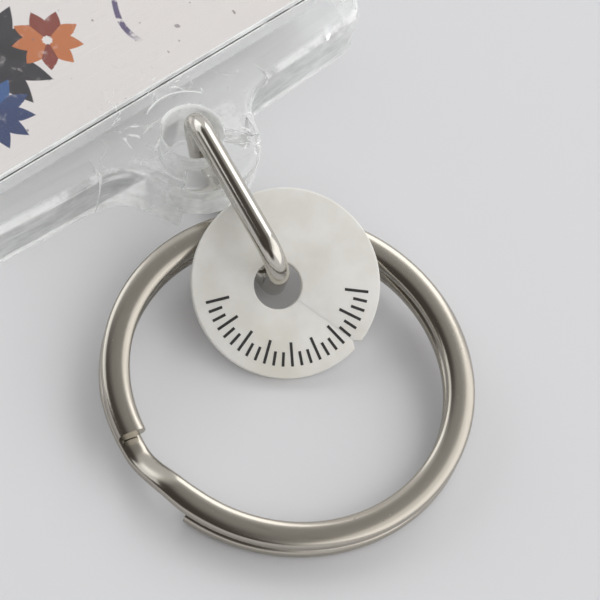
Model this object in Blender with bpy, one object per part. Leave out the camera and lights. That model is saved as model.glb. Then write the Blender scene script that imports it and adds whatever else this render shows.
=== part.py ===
"""Clear acrylic snap-in picture keychain: a tray with a drilled lug, a snap-in cover, a printed card,
a bent wire link, a snap-on tag disc and a split ring.

Units are metres and +Z is up. The origin is the centre of the tray's flat back face. +X runs along the
tray towards its lug and ring, +Y across it. The whole lies on the plane z = 0 with its picture side up.
"""

import math

import bmesh
import bpy
from mathutils import Matrix, Vector

# Clearances: in the tray, past the snap ridges, among the loose pieces, and how far a cut runs on
PLAY = 0.00030
SNAP_PLAY = 0.00005
CHAIN_PLAY = 0.00025
OVERRUN = 0.0020

# Tray: a flat box of clear acrylic with bowed ends and a chamfer round its top edge
FRAME_LENGTH = 0.0560
FRAME_WIDTH = 0.0356
FRAME_HEIGHT = 0.0046
END_BOW = 0.0007
CORNER_RADIUS = 0.0026
BEVEL_WIDTH = 0.0009
BEVEL_HEIGHT = 0.0012
FOOT_CHAMFER = 0.0003

# Walls and floor left round the pocket that takes the card and the cover
TAIL_WALL = 0.0024
HEAD_WALL = 0.0036
SIDE_WALL = 0.0023
FLOOR_THICKNESS = 0.0015
POCKET_RADIUS = 0.0008

# Lug, flush with the tray's top, and the eye drilled through it
LUG_TIP_RADIUS = 0.0044
LUG_TIP_AHEAD = 0.0005
LUG_FILLET_RADIUS = 0.0032
LUG_EDGE = 0.00035
EYE_AHEAD = 0.0006
EYE_RADIUS = 0.00205

# Channel under the lug, as wide as the swing of the link's lower run
CHANNEL_START = 0.0010
CHANNEL_REACH = 0.0080
CHANNEL_RIGHT_SIDE = -0.0003
CHANNEL_LEFT_SIDE = 0.0023
CHANNEL_RIGHT_TURN = math.radians(-40.0)
CHANNEL_LEFT_TURN = math.radians(38.5)

# Printed card and the cover above it
CARD_THICKNESS = 0.00035
COVER_EDGE = 0.00020

# Snap ridges on the cover's long sides, and the grooves in the pocket that take them
RIDGE_LENGTH = 0.0140
RIDGE_HEIGHT = 0.0008
RIDGE_DROP = 0.0011

# Wire link: one closed turn of round wire, its two ends butted on the lower run
LINK_WIRE = 0.0015
LINK_BEND_RADIUS = 0.0018
LINK_NEAR_LEG = 0.00025
LINK_FAR_FOOT = 0.0111
LINK_FAR_HEAD = 0.0133
LINK_BUTT = 0.0042
LINK_BUTT_GAP = 0.00045
LINK_SHIFT = 0.00108
LINK_YAW = math.radians(-13.3)
LINK_LEAN = math.radians(13.9)
LINK_OVER_RIM = math.radians(30.0)

# Split ring: two turns of flat-sided wire, lying over the link's lower run with its far rim down
RING_OUTER_RADIUS = 0.01241
RING_WIRE_WIDTH = 0.0019
RING_WIRE_HEIGHT = 0.00084
RING_TURN_GAP = 0.00042
RING_WIRE_ROUND = 0.00028
RING_CROSSING = 0.00740
RING_YAW = math.radians(-14.4)
RING_LOWER_END = math.radians(315.0)
RING_UPPER_END = math.radians(284.5)
RING_CLIMB_START = math.radians(288.5)
RING_CLIMB_ARC = math.radians(20.0)

# Tag disc: a thin washer slit from rim to hole, so that it snaps over the link
DISC_RADIUS = 0.00634
DISC_THICKNESS = 0.0006
DISC_EDGE = 0.00010
DISC_HOLE_RADIUS = 0.0016
DISC_OFFSET_DOWN = -0.00015
DISC_OFFSET_ACROSS = 0.00055
DISC_SLACK_ALONG = 0.00035
DISC_SLACK_ACROSS = -0.00010
DISC_NOTCH_WIDTH = 0.0007
DISC_NOTCH_DEPTH = 0.00055
DISC_SLIT = 0.00012
DISC_NOTCH_TURN = math.radians(50.7)
DISC_YAW = math.radians(-23.0)
DISC_TILT = math.radians(28.8)

# Facet steps
ARC_STEP = math.radians(9.0)
BEND_STEP = math.radians(12.0)
CORNER_STEP = math.radians(22.5)
WIRE_STEP = math.radians(22.5)
WIRE_CORNER_STEP = math.radians(45.0)
RING_STEP = math.radians(5.0)
CLIMB_STEP = math.radians(2.5)
DISC_STEP = math.radians(4.0)
BOW_FACETS = 12

# Places worked out from the sizes above
TOP_Z = FRAME_HEIGHT
CHANNEL_HEIGHT = LINK_WIRE + PLAY
EYE_X = FRAME_LENGTH / 2 + EYE_AHEAD
POCKET_LENGTH = FRAME_LENGTH - TAIL_WALL - HEAD_WALL
POCKET_WIDTH = FRAME_WIDTH - 2 * SIDE_WALL
POCKET_X = (TAIL_WALL - HEAD_WALL) / 2
CARD_Z = FLOOR_THICKNESS + PLAY
COVER_Z = CARD_Z + CARD_THICKNESS + PLAY
RIDGE_Z = TOP_Z - RIDGE_DROP
RIDGE_PROUD = PLAY - SNAP_PLAY
RING_MEAN_RADIUS = RING_OUTER_RADIUS - RING_WIRE_WIDTH / 2
RING_HEIGHT = 2 * RING_WIRE_HEIGHT + RING_TURN_GAP
RING_LIFT = LINK_WIRE + CHAIN_PLAY
RING_TILT = math.asin(RING_LIFT / (RING_MEAN_RADIUS + RING_OUTER_RADIUS))


def clear_scene():
    """Start from an empty scene."""
    for item in list(bpy.data.objects):
        bpy.data.objects.remove(item, do_unlink=True)


def material(name, colour, roughness, metallic=0.0, alpha=1.0, transmission=0.0, ior=1.49):
    """A plain surface for one piece."""
    finish = bpy.data.materials.new(name)
    finish.use_nodes = True
    shader = finish.node_tree.nodes["Principled BSDF"]
    shader.inputs["Base Color"].default_value = (*colour, 1.0)
    shader.inputs["Roughness"].default_value = roughness
    shader.inputs["Metallic"].default_value = metallic
    shader.inputs["Alpha"].default_value = alpha
    shader.inputs["Transmission Weight"].default_value = transmission
    shader.inputs["IOR"].default_value = ior
    finish.diffuse_color = (*colour, alpha)
    return finish


def add_object(name, mesh, finish=None, smooth_angle=None):
    """Put a mesh in the scene as one named piece."""
    piece = bpy.data.objects.new(name, mesh)
    bpy.context.scene.collection.objects.link(piece)
    if finish is not None:
        mesh.materials.append(finish)
    if smooth_angle is not None:
        mesh.shade_smooth()
        mesh.set_sharp_from_angle(angle=smooth_angle)
    return piece


def mesh_from(bm, name):
    """Turn a bmesh into a mesh whose faces all point outwards."""
    bmesh.ops.recalc_face_normals(bm, faces=bm.faces)
    mesh = bpy.data.meshes.new(name)
    bm.to_mesh(mesh)
    bm.free()
    return mesh


def arc(centre, radius, start, end, step=ARC_STEP):
    """Points along a flat arc, both ends included."""
    count = max(2, math.ceil(abs(end - start) / step))
    angles = [start + (end - start) * i / count for i in range(count + 1)]
    return [(centre[0] + radius * math.cos(a), centre[1] + radius * math.sin(a)) for a in angles]


def stack(name, levels):
    """A closed solid through outlines of equal point count, given as (outline, z) from the bottom up."""
    bm = bmesh.new()
    rows = [[bm.verts.new((x, y, z)) for x, y in outline] for outline, z in levels]
    for low, high in zip(rows, rows[1:]):
        for i in range(len(low)):
            j = (i + 1) % len(low)
            bm.faces.new((low[i], low[j], high[j], high[i]))
    bm.faces.new(list(reversed(rows[0])))
    bm.faces.new(rows[-1])
    return mesh_from(bm, name)


def prism(name, outline, low, high):
    """An outline carried straight up."""
    return stack(name, [(outline, low), (outline, high)])


def cutter(name, mesh):
    """A shape that only cuts another."""
    piece = add_object(name, mesh)
    piece.hide_render = True
    piece.display_type = "WIRE"
    return piece


def boolean(piece, other, operation):
    """Join or cut one piece with another."""
    change = piece.modifiers.new(other.name, "BOOLEAN")
    change.operation = operation
    change.solver = "EXACT"
    change.object = other


def end_bow(y, half_width):
    """How far a bowed end stands back from its crown at a distance y from the middle."""
    return END_BOW * (y / half_width) ** 2


def tray_outline(inset):
    """The tray's rounded rectangle with its two bowed ends, set in all round."""
    half_length = FRAME_LENGTH / 2 - inset
    half_width = FRAME_WIDTH / 2 - inset
    radius = max(CORNER_RADIUS - inset, CORNER_RADIUS / 3)
    reach = half_width - radius
    end = []
    for i in range(BOW_FACETS + 1):
        y = -reach + 2 * reach * i / BOW_FACETS
        end.append((half_length - end_bow(y, FRAME_WIDTH / 2), y))
    corner_x = end[-1][0] - radius
    corner = arc((corner_x, reach), radius, 0.0, math.pi / 2)[1:]
    quarter_a = end + corner
    quarter_b = [(-x, -y) for x, y in quarter_a]
    lower_corner = [(x, -y) for x, y in reversed(corner)]
    upper_corner = [(-x, -y) for x, y in lower_corner]
    return lower_corner + quarter_a + upper_corner + quarter_b


def rounded_rectangle(centre_x, length, width, radius):
    """A rectangle with round corners, long side along X."""
    outline = []
    for side_x, side_y, start in ((1, 1, 0.0), (-1, 1, 0.5), (-1, -1, 1.0), (1, -1, 1.5)):
        corner = (centre_x + side_x * (length / 2 - radius), side_y * (width / 2 - radius))
        outline += arc(corner, radius, start * math.pi, (start + 0.5) * math.pi, step=CORNER_STEP)
    return outline


def lug_outline(inset):
    """The lug seen from above: a round tip that runs into the end wall through two hollow fillets."""
    wall_x = FRAME_LENGTH / 2
    tip_x = EYE_X + LUG_TIP_AHEAD
    tip_radius = LUG_TIP_RADIUS - inset
    fillet_radius = LUG_FILLET_RADIUS + inset
    fillet_x = wall_x + LUG_FILLET_RADIUS
    span = LUG_TIP_RADIUS + LUG_FILLET_RADIUS
    fillet_y = math.sqrt(span ** 2 - (fillet_x - tip_x) ** 2)
    touch = math.atan2(fillet_y, fillet_x - tip_x)
    root_x = wall_x - CORNER_RADIUS
    upper = arc((fillet_x, fillet_y), fillet_radius, math.pi + touch, math.pi)
    tip = arc((tip_x, 0.0), tip_radius, -touch, touch)
    lower = [(x, -y) for x, y in reversed(upper)]
    root = upper[-1][1]
    return [(root_x, -root)] + lower + tip[1:-1] + upper + [(root_x, root)]


def channel_outline():
    """The fan that the link's lower run sweeps under the lug, opening away from the eye."""
    fan = []
    for turn, side in ((CHANNEL_RIGHT_TURN, CHANNEL_RIGHT_SIDE), (CHANNEL_LEFT_TURN, CHANNEL_LEFT_SIDE)):
        for along in (CHANNEL_START, CHANNEL_REACH):
            x = along * math.cos(turn) - side * math.sin(turn)
            y = along * math.sin(turn) + side * math.cos(turn)
            fan.append((EYE_X + x, y))
    return [fan[0], fan[1], fan[3], fan[2]]


def make_tray(finish):
    """The clear tray with its pocket, lug, eye and snap grooves."""
    body = stack("tray_frame", [
        (tray_outline(FOOT_CHAMFER), 0.0),
        (tray_outline(0.0), FOOT_CHAMFER),
        (tray_outline(0.0), TOP_Z - BEVEL_HEIGHT),
        (tray_outline(BEVEL_WIDTH), TOP_Z),
    ])
    tray = add_object("tray_frame", body, finish, smooth_angle=math.radians(25))

    lug = cutter("lug_blank", stack("lug_blank", [
        (lug_outline(LUG_EDGE), 0.0),
        (lug_outline(0.0), LUG_EDGE),
        (lug_outline(0.0), TOP_Z - LUG_EDGE),
        (lug_outline(LUG_EDGE), TOP_Z),
    ]))
    boolean(tray, lug, "UNION")

    pocket = cutter("pocket_cutter", prism(
        "pocket_cutter",
        rounded_rectangle(POCKET_X, POCKET_LENGTH, POCKET_WIDTH, POCKET_RADIUS),
        FLOOR_THICKNESS, TOP_Z + OVERRUN))
    boolean(tray, pocket, "DIFFERENCE")

    eye = cutter("eye_cutter", prism(
        "eye_cutter", arc((EYE_X, 0.0), EYE_RADIUS, 0.0, math.tau)[:-1], -OVERRUN, TOP_Z + OVERRUN))
    boolean(tray, eye, "DIFFERENCE")

    channel = cutter("channel_cutter", prism(
        "channel_cutter", channel_outline(), -OVERRUN, CHANNEL_HEIGHT))
    boolean(tray, channel, "DIFFERENCE")

    for side, label in ((1, "left"), (-1, "right")):
        wall_y = side * POCKET_WIDTH / 2
        profile = ridge_profile(wall_y, side, RIDGE_PROUD, RIDGE_HEIGHT / 2 + PLAY)
        groove = cutter("groove_cutter_" + label, ridge_bar("groove_cutter_" + label, profile, PLAY))
        boolean(tray, groove, "DIFFERENCE")
    return tray


def ridge_profile(face_y, side, proud, half_height):
    """The blunt triangle of a snap ridge on a face at face_y, rooted a little way behind it."""
    root_y = face_y - side * OVERRUN / 4
    return [
        (root_y, RIDGE_Z - half_height),
        (face_y, RIDGE_Z - half_height),
        (face_y + side * proud, RIDGE_Z),
        (face_y, RIDGE_Z + half_height),
        (root_y, RIDGE_Z + half_height),
    ]


def ridge_bar(name, profile, spare):
    """A ridge profile carried along X for the ridge's length."""
    half = RIDGE_LENGTH / 2 + spare
    bm = bmesh.new()
    ends = []
    for x in (POCKET_X - half, POCKET_X + half):
        ends.append([bm.verts.new((x, y, z)) for y, z in profile])
    count = len(profile)
    for i in range(count):
        j = (i + 1) % count
        bm.faces.new((ends[0][i], ends[0][j], ends[1][j], ends[1][i]))
    bm.faces.new(ends[0])
    bm.faces.new(ends[1])
    return mesh_from(bm, name)


def make_cover(finish):
    """The clear plate that snaps into the pocket over the card, flush with the tray's top."""
    length = POCKET_LENGTH - 2 * PLAY
    width = POCKET_WIDTH - 2 * PLAY
    plate = rounded_rectangle(POCKET_X, length, width, POCKET_RADIUS)
    top = rounded_rectangle(POCKET_X, length - 2 * COVER_EDGE, width - 2 * COVER_EDGE, POCKET_RADIUS)
    mesh = stack("snap_cover", [(plate, COVER_Z), (plate, TOP_Z - COVER_EDGE), (top, TOP_Z)])
    cover = add_object("snap_cover", mesh, finish)
    for side, label in ((1, "left"), (-1, "right")):
        profile = ridge_profile(side * width / 2, side, RIDGE_PROUD, RIDGE_HEIGHT / 2)
        ridge = cutter("ridge_blank_" + label, ridge_bar("ridge_blank_" + label, profile, 0.0))
        boolean(cover, ridge, "UNION")
    return cover


def make_card(finish):
    """The printed card on the pocket's floor."""
    outline = rounded_rectangle(
        POCKET_X, POCKET_LENGTH - 2 * PLAY, POCKET_WIDTH - 2 * PLAY, POCKET_RADIUS)
    mesh = prism("printed_card", outline, CARD_Z, CARD_Z + CARD_THICKNESS)
    return add_object("printed_card", mesh, finish)


def link_matrix():
    """The link's own axes seen from the eye: swung sideways, leaning over, its lower run on the table."""
    swing = Matrix.Rotation(LINK_YAW, 4, "Z")
    foot = Matrix.Translation((0.0, LINK_SHIFT, LINK_WIRE / 2))
    lean = Matrix.Rotation(LINK_LEAN, 4, "X")
    return swing @ foot @ lean


def disc_pivot_height():
    """The hole's height in the disc's lower face, when the disc's far rim is on the table."""
    return (DISC_OFFSET_DOWN + DISC_RADIUS) * math.sin(DISC_TILT)


def link_rise():
    """The height between the link's runs, so that the upper one clears the disc's raised rim."""
    raised = DISC_RADIUS * math.cos(LINK_OVER_RIM) - DISC_OFFSET_DOWN
    rim = disc_pivot_height() + raised * math.sin(DISC_TILT) + DISC_THICKNESS * math.cos(DISC_TILT)
    return rim + CHAIN_PLAY


def disc_matrix():
    """The disc's place seen from the eye: its origin is its hole's centre, +X down its slope."""
    height = disc_pivot_height()
    share_up = (height - LINK_WIRE / 2) / link_rise()
    leg_along = LINK_FAR_FOOT + (LINK_FAR_HEAD - LINK_FAR_FOOT) * share_up
    leg_across = LINK_SHIFT - (height - LINK_WIRE / 2) * math.tan(LINK_LEAN)
    swing = Matrix.Rotation(LINK_YAW, 4, "Z")
    hole = Matrix.Translation((leg_along + DISC_SLACK_ALONG, leg_across + DISC_SLACK_ACROSS, height))
    turn = Matrix.Rotation(DISC_YAW, 4, "Z")
    tilt = Matrix.Rotation(DISC_TILT, 4, "Y")
    return swing @ hole @ turn @ tilt


def ring_matrix():
    """The ring's place seen from the eye: its origin is where its wire crosses the link's lower run."""
    swing = Matrix.Rotation(LINK_YAW, 4, "Z")
    crossing = Matrix.Translation((RING_CROSSING, LINK_SHIFT, RING_LIFT + RING_HEIGHT / 2))
    turn = Matrix.Rotation(RING_YAW, 4, "Z")
    tilt = Matrix.Rotation(RING_TILT, 4, "Y")
    return swing @ crossing @ turn @ tilt


def bent_path(start, corners, end, radius):
    """A flat path of straight runs with an arc of one radius at every corner."""
    points = [start]
    stops = [start] + corners + [end]
    for before, corner, after in zip(stops, stops[1:], stops[2:]):
        back = (Vector(before) - Vector(corner)).normalized()
        on = (Vector(after) - Vector(corner)).normalized()
        half = back.angle(on) / 2
        middle = Vector(corner) + (back + on).normalized() * (radius / math.sin(half))
        first = Vector(corner) + back * (radius / math.tan(half)) - middle
        last = Vector(corner) + on * (radius / math.tan(half)) - middle
        turn = last.angle(first)
        count = math.ceil(turn / BEND_STEP)
        for i in range(count + 1):
            part = i / count
            spoke = first * math.sin((1 - part) * turn) + last * math.sin(part * turn)
            points.append(tuple(middle + spoke / math.sin(turn)))
    return points + [end]


def tube(name, sections):
    """A closed solid through sections of equal point count, capped at both ends."""
    bm = bmesh.new()
    rows = [[bm.verts.new(point) for point in section] for section in sections]
    for one, two in zip(rows, rows[1:]):
        for i in range(len(one)):
            j = (i + 1) % len(one)
            bm.faces.new((one[i], one[j], two[j], two[i]))
    bm.faces.new(list(reversed(rows[0])))
    bm.faces.new(rows[-1])
    return mesh_from(bm, name)


def make_link(finish, pivot):
    """The wire link, drawn in its own upright plane: X along its runs, Z from the lower to the upper."""
    height = link_rise() / math.cos(LINK_LEAN)
    corners = [(LINK_FAR_FOOT, 0.0), (LINK_FAR_HEAD, height), (LINK_NEAR_LEG, height), (LINK_NEAR_LEG, 0.0)]
    start = (LINK_BUTT + LINK_BUTT_GAP / 2, 0.0)
    end = (LINK_BUTT - LINK_BUTT_GAP / 2, 0.0)
    path = [Vector(point) for point in bent_path(start, corners, end, LINK_BEND_RADIUS)]
    circle = arc((0.0, 0.0), LINK_WIRE / 2, 0.0, math.tau, WIRE_STEP)[:-1]
    sections = []
    for i, point in enumerate(path):
        heading = (path[min(i + 1, len(path) - 1)] - path[max(i - 1, 0)]).normalized()
        side = Vector((-heading.y, heading.x))
        sections.append([(point.x + side.x * u, v, point.y + side.y * u) for u, v in circle])
    link = add_object("wire_link", tube("wire_link", sections), finish, smooth_angle=math.radians(40))
    link.parent = pivot
    link.matrix_local = link_matrix()
    return link


def ring_rise(angle):
    """Height of the wire's middle above the ring's middle plane, at an angle run from the lower end."""
    half_step = (RING_WIRE_HEIGHT + RING_TURN_GAP) / 2
    part = (angle - RING_CLIMB_START - math.tau) / RING_CLIMB_ARC
    part = min(max(part, 0.0), 1.0)
    return -half_step * math.cos(math.pi * part)


def ring_angles():
    """Where the wire's sections stand, closer together in the climb."""
    climb = RING_CLIMB_START + math.tau
    stops = [RING_LOWER_END, climb, climb + RING_CLIMB_ARC, RING_UPPER_END + 2 * math.tau]
    angles = [stops[0]]
    for start, end, step in zip(stops, stops[1:], (RING_STEP, CLIMB_STEP, RING_STEP)):
        count = math.ceil((end - start) / step)
        angles += [start + (end - start) * i / count for i in range(1, count + 1)]
    return angles


def make_ring(finish, pivot):
    """The split ring, its origin in its wire where it crosses the link and +X towards its centre."""
    profile = []
    half_width = RING_WIRE_WIDTH / 2 - RING_WIRE_ROUND
    half_height = RING_WIRE_HEIGHT / 2 - RING_WIRE_ROUND
    for side_x, side_z, start in ((1, 1, 0.0), (-1, 1, 0.5), (-1, -1, 1.0), (1, -1, 1.5)):
        corner = (side_x * half_width, side_z * half_height)
        profile += arc(corner, RING_WIRE_ROUND, start * math.pi, (start + 0.5) * math.pi, WIRE_CORNER_STEP)
    sections = []
    for angle in ring_angles():
        row = []
        for out, up in profile:
            radius = RING_MEAN_RADIUS + out
            row.append((
                RING_MEAN_RADIUS + radius * math.cos(angle),
                radius * math.sin(angle),
                ring_rise(angle) + up))
        sections.append(row)
    ring = add_object("split_ring", tube("split_ring", sections), finish, smooth_angle=math.radians(35))
    ring.parent = pivot
    ring.matrix_local = ring_matrix()
    report_least_gap(sections)
    return ring


def report_least_gap(sections):
    """Print the least distance between points of the ring's wire half a turn or more apart along it."""
    apart = len(sections) // 4
    least = math.inf
    for i, section in enumerate(sections):
        for other in sections[i + apart:]:
            if (Vector(section[0]) - Vector(other[0])).length > 3 * RING_WIRE_WIDTH:
                continue
            for point in section:
                for facing in other:
                    least = min(least, (Vector(point) - Vector(facing)).length)
    print(f"split_ring least gap to itself {least * 1000:.3f} mm")


def disc_outline(inset):
    """The disc about its centre, its notch towards +X: the rim one way round, the hole the other."""
    neck_x = DISC_RADIUS - DISC_NOTCH_DEPTH
    mouth = math.asin(DISC_NOTCH_WIDTH / 2 / DISC_RADIUS)
    slit = math.asin(DISC_SLIT / 2 / DISC_HOLE_RADIUS)
    hole = Matrix.Rotation(-DISC_NOTCH_TURN, 2) @ Vector((-DISC_OFFSET_DOWN, -DISC_OFFSET_ACROSS))
    bearing = math.atan2(-hole.y, neck_x - hole.x)
    rim = arc((0.0, 0.0), DISC_RADIUS - inset, mouth, math.tau - mouth, DISC_STEP)
    bore = arc(hole, DISC_HOLE_RADIUS + inset, bearing - slit + math.tau, bearing + slit, ARC_STEP)
    return rim + [(neck_x, -DISC_SLIT / 2)] + bore + [(neck_x, DISC_SLIT / 2)]


def make_disc(finish, pivot):
    """The tag disc with its hole, the slit out to its rim and the small notch where the slit ends."""
    face = disc_outline(DISC_EDGE)
    full = disc_outline(0.0)
    mesh = stack("tag_disc", [
        (face, 0.0), (full, DISC_EDGE), (full, DISC_THICKNESS - DISC_EDGE), (face, DISC_THICKNESS)])
    place = Matrix.Translation((DISC_OFFSET_DOWN, DISC_OFFSET_ACROSS, 0.0))
    mesh.transform(place @ Matrix.Rotation(DISC_NOTCH_TURN, 4, "Z"))
    disc = add_object("tag_disc", mesh, finish, smooth_angle=math.radians(30))
    disc.parent = pivot
    disc.matrix_local = disc_matrix()
    return disc


def main():
    clear_scene()
    clear = material("clear_acrylic", (0.93, 0.96, 0.95), 0.04, alpha=0.35)
    cover_clear = material("clear_cover", (0.96, 0.97, 0.96), 0.03, alpha=0.25)
    print_stock = material("printed_card", (0.62, 0.55, 0.50), 0.45)
    nickel_wire = material("nickel_wire", (0.60, 0.58, 0.54), 0.16, metallic=1.0)
    nickel_ring = material("nickel_ring", (0.58, 0.56, 0.52), 0.20, metallic=1.0)
    white_plastic = material("white_plastic", (0.80, 0.79, 0.75), 0.42)

    pivot = bpy.data.objects.new("link_pivot", None)
    bpy.context.scene.collection.objects.link(pivot)
    pivot.location = (EYE_X, 0.0, 0.0)

    make_tray(clear)
    make_cover(cover_clear)
    make_card(print_stock)
    make_link(nickel_wire, pivot)
    make_disc(white_plastic, pivot)
    make_ring(nickel_ring, pivot)


main()
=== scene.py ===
"""Looks of a clear snap-in picture keychain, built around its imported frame.

A drilled clear tray with a printed card and a snap-in cover, a bent wire link, a slit tag disc and a
two-turn split ring, on a pale table. Sizes are in metres, +Z is up, and the tray's back face is on z = 0.
"""
import math

import bmesh
import bpy
from mathutils import Matrix, Vector


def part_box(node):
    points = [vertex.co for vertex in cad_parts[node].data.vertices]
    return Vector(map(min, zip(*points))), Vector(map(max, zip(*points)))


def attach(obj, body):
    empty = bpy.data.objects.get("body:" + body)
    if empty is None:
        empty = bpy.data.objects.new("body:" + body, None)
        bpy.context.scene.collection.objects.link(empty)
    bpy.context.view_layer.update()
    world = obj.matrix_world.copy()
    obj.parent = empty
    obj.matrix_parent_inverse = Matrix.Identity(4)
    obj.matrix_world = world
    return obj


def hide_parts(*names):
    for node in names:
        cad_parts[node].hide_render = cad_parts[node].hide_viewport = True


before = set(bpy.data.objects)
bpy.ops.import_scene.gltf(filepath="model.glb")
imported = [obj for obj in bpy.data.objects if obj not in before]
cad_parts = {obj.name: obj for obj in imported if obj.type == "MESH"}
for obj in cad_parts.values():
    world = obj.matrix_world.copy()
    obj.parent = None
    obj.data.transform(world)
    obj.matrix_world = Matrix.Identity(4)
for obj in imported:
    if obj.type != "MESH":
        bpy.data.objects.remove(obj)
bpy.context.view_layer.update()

MM = 0.001

# Tray, seen from above and in profile
TRAY_LENGTH = 56.0 * MM
TRAY_WIDTH = 35.6 * MM
TRAY_HEIGHT = 4.6 * MM
TRAY_BOW = 0.7 * MM
TRAY_CORNER = 2.6 * MM
BEVEL_IN = 0.9 * MM
BEVEL_DOWN = 1.2 * MM
FOOT_ROUND = 0.30 * MM
SIDE_ROUND = 2.0 * MM
RIM_ROUND = 1.4 * MM
CUT_ON = 2.0 * MM

# Pocket, card and cover
POCKET_MIDDLE = -0.6 * MM
POCKET_LENGTH = 50.0 * MM
POCKET_WIDTH = 31.0 * MM
POCKET_CORNER = 0.8 * MM
POCKET_FLOOR = 1.5 * MM
POCKET_LIP = 0.10 * MM
PLAY = 0.30 * MM
COVER_UNDERSIDE = 2.45 * MM
COVER_EDGE = 0.15 * MM
RIDGE_LENGTH = 14.0 * MM
RIDGE_HALF_HEIGHT = 0.4 * MM
RIDGE_DOWN = 1.1 * MM
RIDGE_PROUD = 0.25 * MM

# Lug, flush with the tray's top, its eye, and the shallow moulding line behind the eye
LUG_TIP = 4.4 * MM
LUG_TIP_AHEAD = 0.5 * MM
LUG_HOLLOW = 3.2 * MM
LUG_ROUND = 0.70 * MM
EYE_X = 28.6 * MM
EYE_RADIUS = 2.05 * MM
EYE_ROUND = 0.25 * MM
LINE_RADIUS = 3.35 * MM
LINE_WIDTH = 0.14 * MM
LINE_DEPTH = 0.06 * MM
LINE_ARC = (math.radians(132.0), math.radians(212.0))
CHANNEL_TOP = 1.8 * MM
CHANNEL_ROUND = 0.3 * MM
CHANNEL_NEAR = 1.0 * MM
CHANNEL_FAR = 8.0 * MM
CHANNEL_SIDES = ((math.radians(-40.0), -0.3 * MM), (math.radians(38.5), 2.3 * MM))

# Wire link, in its own upright plane
LINK_WIRE = 1.5 * MM
LINK_BEND = 1.8 * MM
LINK_NEAR = 0.25 * MM
LINK_FOOT = 11.1 * MM
LINK_HEAD = 13.3 * MM
LINK_BUTT = 4.2 * MM
LINK_BUTT_GAP = 0.45 * MM
LINK_HEIGHT = 6.67 * MM
LINK_SHIFT = 1.08 * MM
LINK_YAW = math.radians(-13.3)
LINK_LEAN = math.radians(13.9)

# Split ring
RING_MEAN = 11.46 * MM
RING_WIRE_WIDTH = 1.9 * MM
RING_WIRE_HEIGHT = 1.02 * MM
RING_PITCH = 1.06 * MM
RING_LOWER_END = math.radians(315.0)
RING_UPPER_END = math.radians(284.5 + 720.0)
RING_CLIMB_START = math.radians(288.5 + 360.0)
RING_CLIMB_ARC = math.radians(20.0)
RING_CROSSING = (7.40 * MM, 1.08 * MM, 2.80 * MM)
RING_YAW = math.radians(-14.4)
RING_TILT = math.radians(4.204)

# Tag disc
DISC_RADIUS = 6.34 * MM
DISC_THICKNESS = 0.6 * MM
DISC_EDGE = 0.12 * MM
DISC_HOLE = 1.6 * MM
DISC_CENTRE = (-0.15 * MM, 0.55 * MM)
DISC_NOTCH_WIDTH = 0.7 * MM
DISC_NOTCH_DEPTH = 0.5 * MM
DISC_SLIT = 0.004 * MM
DISC_NOTCH_TURN = math.radians(50.7)
DISC_PIVOT = (40.579 * MM, -2.392 * MM, 2.982 * MM)
DISC_YAW = math.radians(-36.3)
DISC_TILT = math.radians(28.8)

# Camera, aimed as the photograph was taken
AIM = (41.97 * MM, -1.312 * MM, 2.0 * MM)
CAMERA_DISTANCE = 230.0 * MM
CAMERA_HEIGHT = math.radians(56.4)
CAMERA_BEARING = math.radians(-54.66)
CAMERA_ROLL = math.radians(16.7)
CAMERA_PICTURE = 600.0
CAMERA_PIXELS_PER_MM = 15.04


# The room's dark parts, overhead and behind the camera: bearing, height, core and edge
DARK_PARTS = (
    (math.radians(240.0), math.radians(52.0), math.radians(32.0), math.radians(50.0)),
    (math.radians(308.0), math.radians(40.0), math.radians(11.0), math.radians(27.0)),
)


class Field:
    """A node's output that takes part in sums like a number."""

    def __init__(self, bench, socket):
        self.bench = bench
        self.socket = socket

    def __getitem__(self, name):
        return Field(self.bench, self.socket.node.outputs[name])

    def __add__(self, other):
        return self.bench.sum("ADD", self, other)

    def __radd__(self, other):
        return self.bench.sum("ADD", other, self)

    def __sub__(self, other):
        return self.bench.sum("SUBTRACT", self, other)

    def __rsub__(self, other):
        return self.bench.sum("SUBTRACT", other, self)

    def __mul__(self, other):
        return self.bench.sum("MULTIPLY", self, other)

    def __rmul__(self, other):
        return self.bench.sum("MULTIPLY", other, self)

    def __truediv__(self, other):
        return self.bench.sum("DIVIDE", self, other)

    def __rtruediv__(self, other):
        return self.bench.sum("DIVIDE", other, self)

    def __pow__(self, other):
        return self.bench.sum("POWER", self, other)

    def __mod__(self, other):
        return self.bench.sum("FLOORED_MODULO", self, other)

    def __neg__(self):
        return self.bench.sum("MULTIPLY", self, -1.0)

    def __abs__(self):
        return self.bench.sum("ABSOLUTE", self)


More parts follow.
